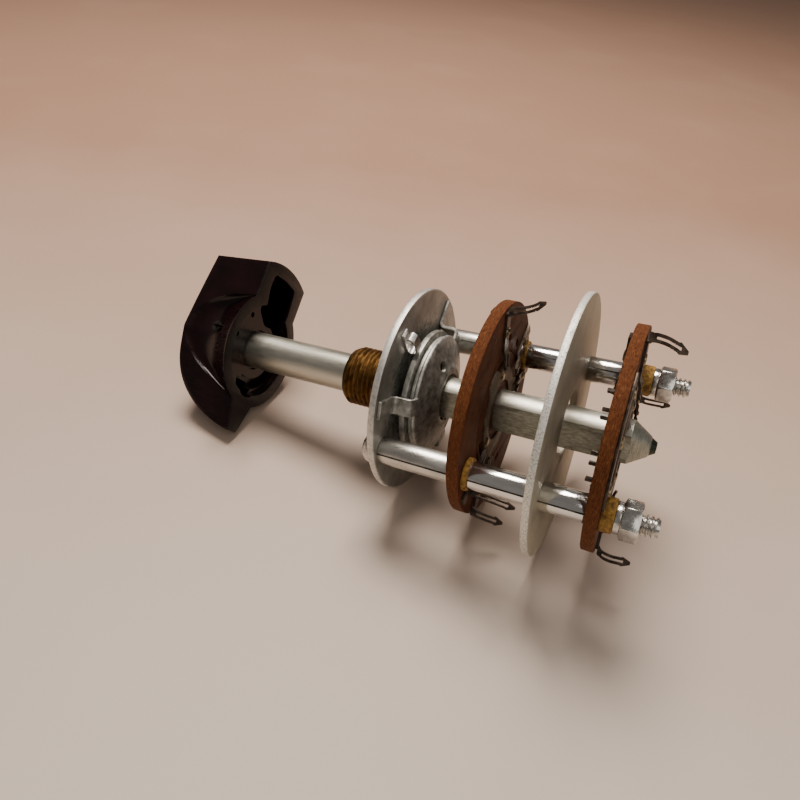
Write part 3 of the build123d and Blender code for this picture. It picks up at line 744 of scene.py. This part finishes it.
def detent_spring():
    """The pressed dome round the shaft, held to the plate by three straps."""
    outline = [(SPRING_HOLE_R, 5.95), (4.6, 5.95), (5.2, 5.55), (8.5, 4.55), (9.25, 4.25), (9.35, 3.75),
               (8.85, 3.72), (8.7, 4.0), (8.3, 4.15), (5.0, 5.1), (4.5, 5.45), (SPRING_HOLE_R, 5.45)]
    punches = [lathe([(0, 3), (0.8, 3), (0.8, 7), (0, 7)], around(BALL_CIRCLE, a), 24) for a in BALL_ANGLES]
    pieces = [cut(lathe(soften(outline, 0.25), steps=120), punches)]
    bend = soften([(8.9, 4.2), (10.65, 4.15), (10.65, 1.28), (15.2, 1.28)], 0.9, 6, False)
    pieces += [strip(bend, 2.6, 0.5, angle, edge=0.1) for angle in STRAP_ANGLES]
    publish("detent_spring_pressed", pieces, STAMPED, "frame", "detent_spring")


def shaft_clip():
    """The open ring in the shaft's groove."""
    half_open = 26
    ring = arc(5.0, half_open, 360 - half_open, 60) + arc(2.75, 360 - half_open, half_open, 60)
    clip = stamping([soften(ring, 0.2)], *span("shaft_clip"), 0.06)
    publish("shaft_clip_ring", [clip], STAMPED, "rotor", "shaft_clip")


def stop_tab():
    """A tongue on the plate, rolled into a loop."""
    roll = [(14.1, 1.2), (11.2, 1.2)]
    for k in range(10):
        out, height = around(0.78, -90 - 20 * k)
        roll.append((11.1 + out, 1.98 + height))
    roll += [(12.4, 2.76), (13.1, 2.6), (13.5, 2.1), (13.3, 1.7)]
    publish("stop_tab_rolled", [strip(roll, 1.5, 0.32, 70)], TAB, "frame", "stop_tab")


# ------------------------------------------------------------------ tie rods and their stack
def rolled_tube(y0, y1, centre, outer, inner, seam):
    """A tube rolled from strip, with an open seam facing the seam angle."""
    gap = 3.5
    ring = arc(outer, seam + gap, seam + 360 - gap, 60) + arc(inner, seam - gap, seam + gap - 360, 60)
    return stamping([[(centre[0] + x, centre[1] + z) for x, z in ring]], y0, y1, 0.07)


def hex_nut(y0, y1, centre, flats, turn):
    """A hexagon nut with chamfered corners and a countersunk hole."""
    corner = flats / 2 / math.cos(math.radians(30))
    ring = [around(corner, turn + 60 * k) for k in range(6)]
    verts = [(centre[0] + x, y, centre[1] + z) for y in (y0, y1) for x, z in ring]
    block = mesh_from(verts, prism_faces(6))
    near, far = flats / 2 * 0.97, corner + 1
    drop = 0.546 * (far - flats / 2)
    cutters = []
    for end, inward in ((y0, 1), (y1, -1)):
        outline = [(near, end - inward * 0.01), (far, end + inward * drop), (far, end - inward)]
        cutters.append(lathe([*outline, (near, end - inward)], centre, 48))
    mouth, sink = 1.75, 0.33
    hole = [(0, y0 - 1), (mouth, y0 - 1), (mouth, y0), (ROD_R, y0 + sink), (ROD_R, y1 - sink), (mouth, y1),
            (mouth, y1 + 1), (0, y1 + 1)]
    cutters.append(lathe(hole, centre, 32))
    return rounded_edges(cut(block, cutters), 0.05, 28, 1)


def tie_rod(side, centre):
    """A headed rod, threaded behind its spacers."""
    front, back = span(f"tie_rod_{side}")
    pitch = 0.635
    start = 31.0
    rows = int((back - start) / (pitch / 10))
    head = [(0, front), (1.0, front + 0.05), (1.75, front + 0.35), (2.2, front + 0.95), (2.35, front + 1.6)]
    threaded = [(ROD_R, start + (back - 0.35 - start) * i / rows) for i in range(rows + 1)]
    profile = [*head, (2.3, 0), (ROD_R, 0), (ROD_R, 12), *threaded, (ROD_R - 0.3, back), (0, back)]
    sizes = {"centre_x": centre[0], "centre_z": centre[1], "pitch": pitch, "depth": 0.34, "start": start,
             "end": back + pitch * 0.6, "crest": ROD_R}
    rod = through_tree(lathe(profile, centre, 56), THREAD, ROD, **sizes)
    publish(f"tie_rod_{side}_threaded", [rod], ROD, "frame", f"tie_rod_{side}")


def rod_stack(side, centre, seam):
    """The spacers, washers, collar and nut on a tie rod."""
    for node, finish in (("front_spacer", DULL_TUBE), ("mid_spacer", TUBE), ("rear_spacer", TUBE)):
        name = f"{node}_{side}"
        body = rolled_tube(*span(name), centre, radius(name), ROD_R + ROD_CLEAR, seam)
        publish(f"{name}_rolled", [body], finish, "frame", name)
    for node, finish, slot, edge in (
        ("mid_washer", FIBRE, "fibre_washer", 0.2),
        ("rear_washer", FIBRE, "fibre_washer", 0.25),
        ("rear_collar", NUT, "nut_steel", 0.15),
    ):
        name = f"{node}_{side}"
        ring = tube(*span(name), radius(name), ROD_R, centre, edge)
        publish(f"{name}_turned", [ring], finish, "frame", name)
    name = f"rod_nut_{side}"
    nut = hex_nut(*span(name), centre, 2 * radius(name), 18)
    publish(f"{name}_chamfered", [nut], NUT, "frame", name)


def shield():
    """The plain disc between the wafers."""
    outline = [circle(radius("shield_disc"), steps=200), circle(5.5, steps=64), *rod_holes()]
    sheet = stamping(outline, *span("shield_disc"), 0.16)
    publish("shield_sheet", [sheet], SHIELD, "frame", "shield_disc")


# ------------------------------------------------------------------ wafers
CONTACTS = {
    (1, "rear"): (-53.0, -23.0, 97.0, 217.0, 157.0, 187.0),
    (1, "front"): (-53.0, 97.0),
    (2, "rear"): (-53.0, 97.0, 187.0, 217.0),
    (2, "front"): (-53.0, 97.0),
}
BARE = {(1, 157.0), (1, 187.0)}
COLLECTOR_EYELETS = (7.0, 37.0, 67.0)
CLAWS = (17.0, 25.0, 30.0, 46.5, 50.5, 60.0)
LOBES = (-53.0, 67.0, 187.0)
SLOTS = (-38.0, 112.0, 142.0, 202.0, 232.0, 262.0)
STRIP_T = 0.35
BLADE_T = 0.3
EYELET_CIRCLE = 12.7
EYELET_R = 0.6
RIVET_CIRCLE = 5.7
# solder lugs bent in their own way, as (radius, angle, height above the face) with their breadth
FACING = 39.0
PLAIN_LUG = ((15.9, 0.7), (17.6, 4.3))
BENT_LUGS = {
    (1, 97.0): (((15.7, 97, 0.3), (16.2, 97, 1.8), (16.6, 98, 3.2), (17.7, 99, 5.0)), 1.35),
    (1, -53.0): (((15.6, -45, 0.3), (15.9, -45, 1.3), (16.1, -48, 2.8), (16.3, -52, 4.9)), 1.3),
    (1, -23.0): (((13.4, -29, 0.3), (13.5, -30, 2.4), (13.8, -31, 7.0)), 1.2),
    (2, 97.0): (((15.8, 97, 0.3), (16.0, 97, 1.2), (15.9, 96, 2.6), (15.0, 94, 5.2)), 1.5),
    (2, -53.0): (((15.8, -53, 0.3), (16.4, -53, 1.0), (16.6, -53, 2.2), (16.4, -53, 4.9)), 1.35),
    (2, 187.0): (((15.5, 192, 0.3), (15.7, 193, 1.5), (15.3, 192, 5.0)), 1.3),
}


def fine_path(path, step):
    """The path with points added so that none are further apart than step."""
    result = [path[0]]
    for a, b in zip(path, path[1:]):
        parts = max(1, math.ceil(math.dist(a, b) / step))
        result += [tuple(Vector(a).lerp(Vector(b), k / parts)) for k in range(1, parts + 1)]
    return result


def path_length(path):
    return sum(math.dist(a, b) for a, b in zip(path, path[1:]))


def lug_breadth(start, tip, end):
    """A lug's breadth along its strip: full, then the slotted shank, then an arrow-shaped tip."""
    def breadth(t):
        past = t * end
        if past < start:
            return 1.0
        return 0.82 if past < tip else 1.05 - 0.75 * (past - tip) / (end - tip)

    return breadth


def contact(number, face, angle, face_y, side):
    """One contact: split jaw, strip held by its eyelet, and on the rear a slotted solder lug."""
    jaw = [(7.15, 0.86), (7.7, 0.62), (9.2, 0.62), (9.9, 0.2), (15.2, 0.2)]
    bent = BENT_LUGS.get((number, angle)) if face == "rear" else None
    plain = face == "rear" and not bent and (number, angle) not in BARE
    route = [*jaw, *PLAIN_LUG] if plain else [*jaw, (15.7, 0.2)]
    path = fine_path([(r, face_y + side * h) for r, h in soften(route, 0.35, 3, False)], 0.35)
    total = path_length(path)
    gaps = [(0.0, 2.2), (8.9, total - 1.3)] if plain else [(0.0, 2.2)]
    taper = lug_breadth(8.6, total - 1.3, total) if plain else None
    pieces = [strip(path, 1.75, 0.38, angle, gaps, 0.34, 0.05, taper)]
    if bent:
        points, width = bent
        turned = [(*around(r, turn - FACING), height) for r, turn, height in points]
        route = [(across, face_y + height, up) for across, up, height in turned]
        path = fine_path(soften(route, 0.5, 4, False), 0.3)
        total = path_length(path)
        taper = lug_breadth(0.3, total - 1.2, total)
        pieces.append(strip(path, width, 0.5, FACING, [(0.9, total - 0.95)], 0.3, 0.06, taper))
    return pieces


def claw(angle, gap):
    """The section of one of the collector's claws, grown by the gap."""
    out, along = Vector(around(1, angle)), Vector(around(1, angle + 90))
    corners = ((-1, -1), (1, -1), (1, 1), (-1, 1))
    return [tuple(out * (15.0 + a * (0.35 + gap)) + along * b * (0.2 + gap)) for a, b in corners]


def wafer(number):
    """A board with its turning centre, blades, contacts, eyelets and rivets."""
    name = f"wafer_{number}"
    y0, y1 = span(f"{name}_stator")
    rear, front = CONTACTS[number, "rear"], CONTACTS[number, "front"]
    ears = COLLECTOR_EYELETS if number == 2 else ()
    angles = sorted({*rear, *front, *ears})

    # the board, with arched slots between its contacts
    loops = [circle(radius(f"{name}_stator"), steps=200), circle(9.0, steps=120), *rod_holes()]
    loops += [circle(EYELET_R, around(EYELET_CIRCLE, a), 20) for a in angles]
    loops += [soften(arc(11.4, a - 4, a + 4, 6) + arc(10.4, a + 4, a - 4, 6), 0.3) for a in SLOTS]
    loops += [claw(a, 0.04) for a in CLAWS if ears]
    publish(f"{name}_board", [stamping(loops, y0, y1, 0.1)], PHENOLIC, "frame", f"{name}_stator")

    # the turning centre, with its hole flatted like the shaft
    half = math.degrees(math.acos(SHAFT_FLAT / SHAFT_R))
    flatted = arc(SHAFT_R, half, 180 - half, 16) + arc(SHAFT_R, 180 + half, 360 - half, 16)
    centre = [circle(8.85, steps=120), flatted]
    centre += [soften(arc(7.9, a + 14, a + 46, 8) + arc(7.0, a + 46, a + 14, 8), 0.3) for a in LOBES]
    publish(f"{name}_centre", [stamping(centre, y0, y1, 0.1)], PHENOLIC, "rotor", f"{name}_rotor")

    # the blades and contacts on each face
    for face, low, face_y, side in (("front", y0 - BLADE_T, y0, -1), ("rear", y1, y1, 1)):
        outline = []
        for lobe in LOBES:
            outline += arc(8.3, lobe - 11, lobe + 11, 10) + arc(6.6, lobe + 22, lobe + 98, 16)
        holes = [circle(4.6, steps=60)] + [circle(0.55, around(RIVET_CIRCLE, a + 30), 16) for a in LOBES]
        node = f"{name}_{face}_blade"
        blade = stamping([soften(outline, 0.25), *holes], low, low + BLADE_T, 0.05)
        publish(f"{node}_stamped", [blade], BLADE, "rotor", node)
        clips = [piece for a in CONTACTS[number, face] for piece in contact(number, face, a, face_y, side)]
        publish(f"{name}_{face}_clips", clips, CONTACT, "frame", f"{name}_{face}_contacts")

    # eyelets: a shank through the board, and a rolled rim on each face
    shanks, rims = [], []
    for angle in angles:
        spot = around(EYELET_CIRCLE, angle)
        low = y0 - (STRIP_T if angle in front else 0) - 0.02
        high = y1 + (STRIP_T if angle in rear or angle in ears else 0) + 0.02
        shanks.append(tube(low - 0.1, high + 0.1, EYELET_R, 0.38, spot, 0.05, 20))
        rims += [(spot[0], low, spot[1]), (spot[0], high, spot[1])]
    points = bpy.data.meshes.new("rim_points")
    points.from_pydata(rims, [], [])
    rolled = through_tree(points, EYELET, RIVET, rim_radius=0.62, wire_radius=0.22)
    publish(f"{name}_eyelets_rolled", [*shanks, rolled], RIVET, "frame", f"{name}_eyelets")

    # the rivets through both blades
    half_head = [(0, 0.6), (0.5, 0.55), (0.8, 0.3), (0.55, 0.3)]
    outline = [(r, y0 - h) for r, h in half_head] + [(r, y1 + h) for r, h in reversed(half_head)]
    rivets = [lathe(outline, around(RIVET_CIRCLE, lobe + 30), 24) for lobe in LOBES]
    publish(f"{name}_rotor_rivets_domed", rivets, RIVET, "rotor", f"{name}_rotor_rivets")


def collector():
    """The common strip along the rear wafer's edge, with an ear at each eyelet and claws in the board."""
    y0 = span("wafer_2_collector")[1] - STRIP_T
    front = span("wafer_2_stator")[0]
    outer, inner, ear = 15.8, 14.2, 11.6
    outline = arc(outer, 3, 71, 40)
    for angle in reversed(COLLECTOR_EYELETS):
        corners = ((inner, 4), (ear, 4), (ear, -4), (inner, -4))
        outline += [around(r, angle + turn) for r, turn in corners]
        if angle > COLLECTOR_EYELETS[0]:
            outline += arc(inner, angle - 6, angle - 24, 8)
    holes = [circle(EYELET_R, around(EYELET_CIRCLE, a), 20) for a in COLLECTOR_EYELETS]
    pieces = [stamping([soften(outline, 0.25), *holes], y0, y0 + STRIP_T, 0.06)]
    pieces += [stamping([claw(angle, 0.0)], front - 0.9, y0 + 0.1, 0.07) for angle in CLAWS]
    publish("wafer_2_collector_strip", pieces, CONTACT, "frame", "wafer_2_collector")


# ------------------------------------------------------------------ knob
KNOB_ANGLE = math.radians(-39.4)
HALF_WIDTH = 6.46
TAIL_R = 15.5
SKIRT_R = 10.1
NOSE = 14.8
NOSE_SLOPE = (HALF_WIDTH - 1.1) / NOSE
TAIL = -math.sqrt(TAIL_R**2 - HALF_WIDTH**2)
ARCH_LEFT, ARCH_TOP_U, ARCH_RIGHT, ARCH_TOP = -7.76, 0.3, 9.63, 12.0


def knob_point(u, v, h):
    """From along the pointer, across it and above the back face, to the row's axes."""
    u -= min(0.0, u) * 0.0042 * max(0.0, h)
    x = u * math.cos(KNOB_ANGLE) - v * math.sin(KNOB_ANGLE)
    z = u * math.sin(KNOB_ANGLE) + v * math.cos(KNOB_ANGLE)
    return x, KNOB_BACK - h, z


def crown(u):
    """Height of the grip along the pointer."""
    if u < 3.5:
        return 12.4 - 1.9 * ((3.5 - u) / 19.0) ** 1.35
    share = min(1.0, (u - 3.5) / (NOSE - 3.5))
    return 12.4 * max(0.02, (1 - share**2.3)) ** 0.62


def wall(u):
    """Half of the grip's thickness at a place along the pointer."""
    return HALF_WIDTH - NOSE_SLOPE * max(0.0, u)


def arch(u):
    """Height of the scoop's edge on the grip's side."""
    if u <= ARCH_LEFT or u >= ARCH_RIGHT:
        return 0.0
    if u < ARCH_TOP_U:
        share, power = (ARCH_TOP_U - u) / (ARCH_TOP_U - ARCH_LEFT), 0.42
    else:
        share, power = (u - ARCH_TOP_U) / (ARCH_RIGHT - ARCH_TOP_U), 1.0
    return ARCH_TOP * (1 - share**2) ** power


def flank(u, share):
    """Half-width of the scoop, from the skirt at share 0 to the arch at share 1."""
    side = wall(u)
    height = arch(u)
    skirt = max(side, math.sqrt(max(0.0, SKIRT_R**2 - u**2)))
    hollow = 1.75 * min(1.0, height / 8.0) * math.sin(math.pi * share) ** 0.75 * share**0.45
    return side + (skirt - side) * (1 - share) ** 1.9 - hollow


def knob_body():
    """The knob before its pockets, from grids of points over its sides, top, tail, nose and back."""
    columns = [TAIL + (ARCH_LEFT - TAIL) * k / 10 for k in range(10)]
    middle_u, reach = (ARCH_LEFT + ARCH_RIGHT) / 2, (ARCH_RIGHT - ARCH_LEFT) / 2
    columns += [middle_u - reach * math.cos(math.pi * k / 64) for k in range(65)]
    columns += [ARCH_RIGHT + (NOSE - ARCH_RIGHT) * k / 16 for k in range(1, 17)]
    low_rows, high_rows = 18, 8
    spread = [-1 + k / 5 for k in range(11)]

    def side_line(u, side):
        edge, top = min(arch(u), crown(u) - 0.3), crown(u)
        line = []
        for j in range(low_rows + 1):
            share = j / low_rows
            v = flank(u, share) if edge > 1e-6 else wall(u)
            line.append((u, side * v, edge * share))
        line += [(u, side * wall(u), edge + (top - edge) * j / high_rows) for j in range(1, high_rows + 1)]
        return line

    def top_line(u):
        bulge = 0.25 * min(1, crown(u) / 6)
        return [(u, t * wall(u), crown(u) + bulge * (1 - t**2)) for t in spread]

    def tail_line(height, bulge=0.0):
        places = [(t, t * HALF_WIDTH) for t in spread]
        return [(-math.sqrt(TAIL_R**2 - v**2), v, height + bulge * (1 - t**2)) for t, v in places]

    left, right = [[side_line(u, side) for u in columns] for side in (-1, 1)]
    top = [top_line(u) for u in columns]
    tail = [tail_line(crown(TAIL) * j / high_rows) for j in range(high_rows)] + [tail_line(crown(TAIL), 0.25)]
    back = [(a[0], b[0]) for a, b in zip(left, right)]
    verts, faces = [], []
    for grid in (left, right, top, tail, [tail[-1], top[0]], [left[-1], right[-1]], back):
        wide = len(grid[0])
        for i, line in enumerate(grid):
            start = len(verts)
            verts += [knob_point(*point) for point in line]
            if i:
                faces += [(k - wide, k, k + 1, k + 1 - wide) for k in range(start, start + wide - 1)]
    for line in (top[-1], tail[0]):
        faces.append(tuple(range(len(verts), len(verts) + len(line))))
        verts += [knob_point(*point) for point in line]
    return mesh_from(verts, faces)


def pocket(outline, depth, draft=0.93):
    """A cutter from behind the knob's back face to a depth, narrowing by the draft."""
    count = len(outline)
    centre_u, centre_v = sum(u for u, _ in outline) / count, sum(v for _, v in outline) / count
    verts = [knob_point(u, v, -1.0) for u, v in outline]
    for u, v in outline:
        verts.append(knob_point(centre_u + (u - centre_u) * draft, centre_v + (v - centre_v) * draft, depth))
    return mesh_from(verts, prism_faces(count))


def knob():
    """The moulded bar knob, with the pockets in its back and the hole for its set screw."""
    tail_pocket = [(-13.1, 3.7), (-13.4, 0), (-13.1, -3.5), (-8.6, -4.1), (-6.4, -4.0), (-4.9, -3.2),
                   (-4.4, 0.2), (-6.4, 2.9), (-7.8, 3.1), (-10.4, 3.9)]
    nose_pocket = [(5.6, -2.9), (8.3, -1.6), (8.6, 0), (8.3, 1.6), (5.6, 2.9)]
    ring = arc(7.2, 205, 378, 40) + arc(5.2, 375, 190, 40)
    cutters = [
        pocket(soften(tail_pocket, 0.8, 4), 8.5),
        pocket(soften(ring, 0.5, 4), 2.5, 0.97),
        pocket(soften(nose_pocket, 0.6, 4), 5.5),
        pocket(circle(8.2, steps=72), 1.1, 0.97),
        pocket(circle(3.7, steps=64), 1.6, 0.95),
        pocket(circle(SHAFT_R + 0.01, steps=64), 9.2, 1.0),
    ]
    cutters += [pocket(circle(0.5, spot, 16), 1.9) for spot in ((-4.9, 4.4), (-0.6, 6.6), (5.9, 4.6))]
    turn = KNOB_ANGLE + math.radians(98)
    screw = lathe([(0, -1), (0.92, -1), (0.92, 14), (0, 14)], steps=32)
    upright = Matrix.Rotation(math.pi / 2, 4, "X")
    screw.transform(Matrix.Rotation(turn - math.pi / 2, 4, "Y").inverted() @ upright)
    screw.transform(Matrix.Translation((0, KNOB_BACK - 5.2, 0)))
    body = cut(rounded_edges(knob_body(), 0.2, 22, 2), [*cutters, screw])
    publish("knob_moulded", [body], BAKELITE, "rotor", "knob")


shaft()
bushing()
front_plate()
index_plate()
balls_and_cage()
detent_spring()
shaft_clip()
stop_tab()
for rod_side, rod_seam in (("near", 20.0), ("far", 40.0)):
    tie_rod(rod_side, RODS[rod_side])
    rod_stack(rod_side, RODS[rod_side], rod_seam)
shield()
wafer(1)
wafer(2)
collector()
knob()
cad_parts["knob_set_screw"].data.materials.clear()
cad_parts["knob_set_screw"].data.materials.append(SCREW)


# ------------------------------------------------------------------ table, light and camera
def table():
    """The surface that the switch lies on, touching the front plate and the shield, with painted shade
    darkening it away from the camera.
    """
    plate_y, plate_r = PLATE_BACK / 2, radius("front_plate")
    slope = (radius("shield_disc") - plate_r) / (span("shield_disc")[0] - plate_y)
    corners = ((-1.2, -1.2), (1.2, -1.2), (1.2, 1.2), (-1.2, 1.2))
    verts = [(x, y, -plate_r * MM - slope * (y - plate_y * MM)) for x, y in corners]
    mesh = bpy.data.meshes.new("table")
    mesh.from_pydata(verts, [], [(0, 1, 2, 3)])
    made = Finish("pale_table", 0.0, 0.3)
    clouds = made.noise(40.0, 3.0)
    # painted shade: the table's colour grows darker and pinker away from the camera, standing in for the
    # falloff of the light; the clouds add a little random tone
    away = made.math("ADD", made.math("MULTIPLY", made.axis("X"), 0.92),
                     made.math("MULTIPLY", made.axis("Y"), 0.38))
    painted_falloff_and_tone = made.math("ADD", made.span(away, -0.13, 0.07), made.span(clouds, 0.0, 1.0, -0.1, 0.1))
    made.colour(made.ramp(painted_falloff_and_tone, (0.0, (0.39, 0.225, 0.150)), (0.5, (0.50, 0.36, 0.275)),
                          (1.0, (0.64, 0.565, 0.49))))
    made.roughness(made.span(clouds, 0.3, 0.7, 0.5, 0.6))
    mesh.materials.append(made.material)
    placed("table", mesh)


def area_light(name, place, size, power, colour):
    """A soft lamp aimed at the origin."""
    data = bpy.data.lights.new(name, "AREA")
    data.shape = "DISK"
    data.size = size
    data.energy = power
    data.color = colour
    lamp = placed(name, data)
    lamp.location = place
    lamp.rotation_euler = (-Vector(place)).to_track_quat("-Z", "Y").to_euler()


def studio():
    """Two soft lamps and a dim warm room."""
    area_light("overhead", (-0.16, -0.05, 0.42), 0.24, 3.3, (1.0, 0.90, 0.82))
    area_light("fill", (0.25, 0.30, 0.30), 0.40, 0.5, (1.0, 0.95, 0.90))
    world = bpy.data.worlds.new("room")
    world.use_nodes = True
    sky = world.node_tree.nodes["Background"].inputs
    sky["Color"].default_value = (0.88, 0.80, 0.74, 1)
    sky["Strength"].default_value = 0.20
    bpy.context.scene.world = world


def camera():
    """The view from behind and above, towards the near tie rod."""
    right = Vector((-0.43151559, 0.90116248, -0.04123691))
    down = Vector((0.56189026, 0.23273344, -0.79379751))
    data = bpy.data.cameras.new("camera")
    data.lens = 29.05
    data.sensor_width = 36
    data.shift_x = 0.0043
    data.shift_y = 0.0054
    data.clip_start = 0.005
    eye = placed("camera", data)
    turn = Matrix((right, -down, right.cross(-down))).transposed()
    eye.matrix_world = Matrix.Translation((0.074574, 0.035464, 0.060046)) @ turn.to_4x4()
    bpy.context.scene.camera = eye


table()
studio()
camera()
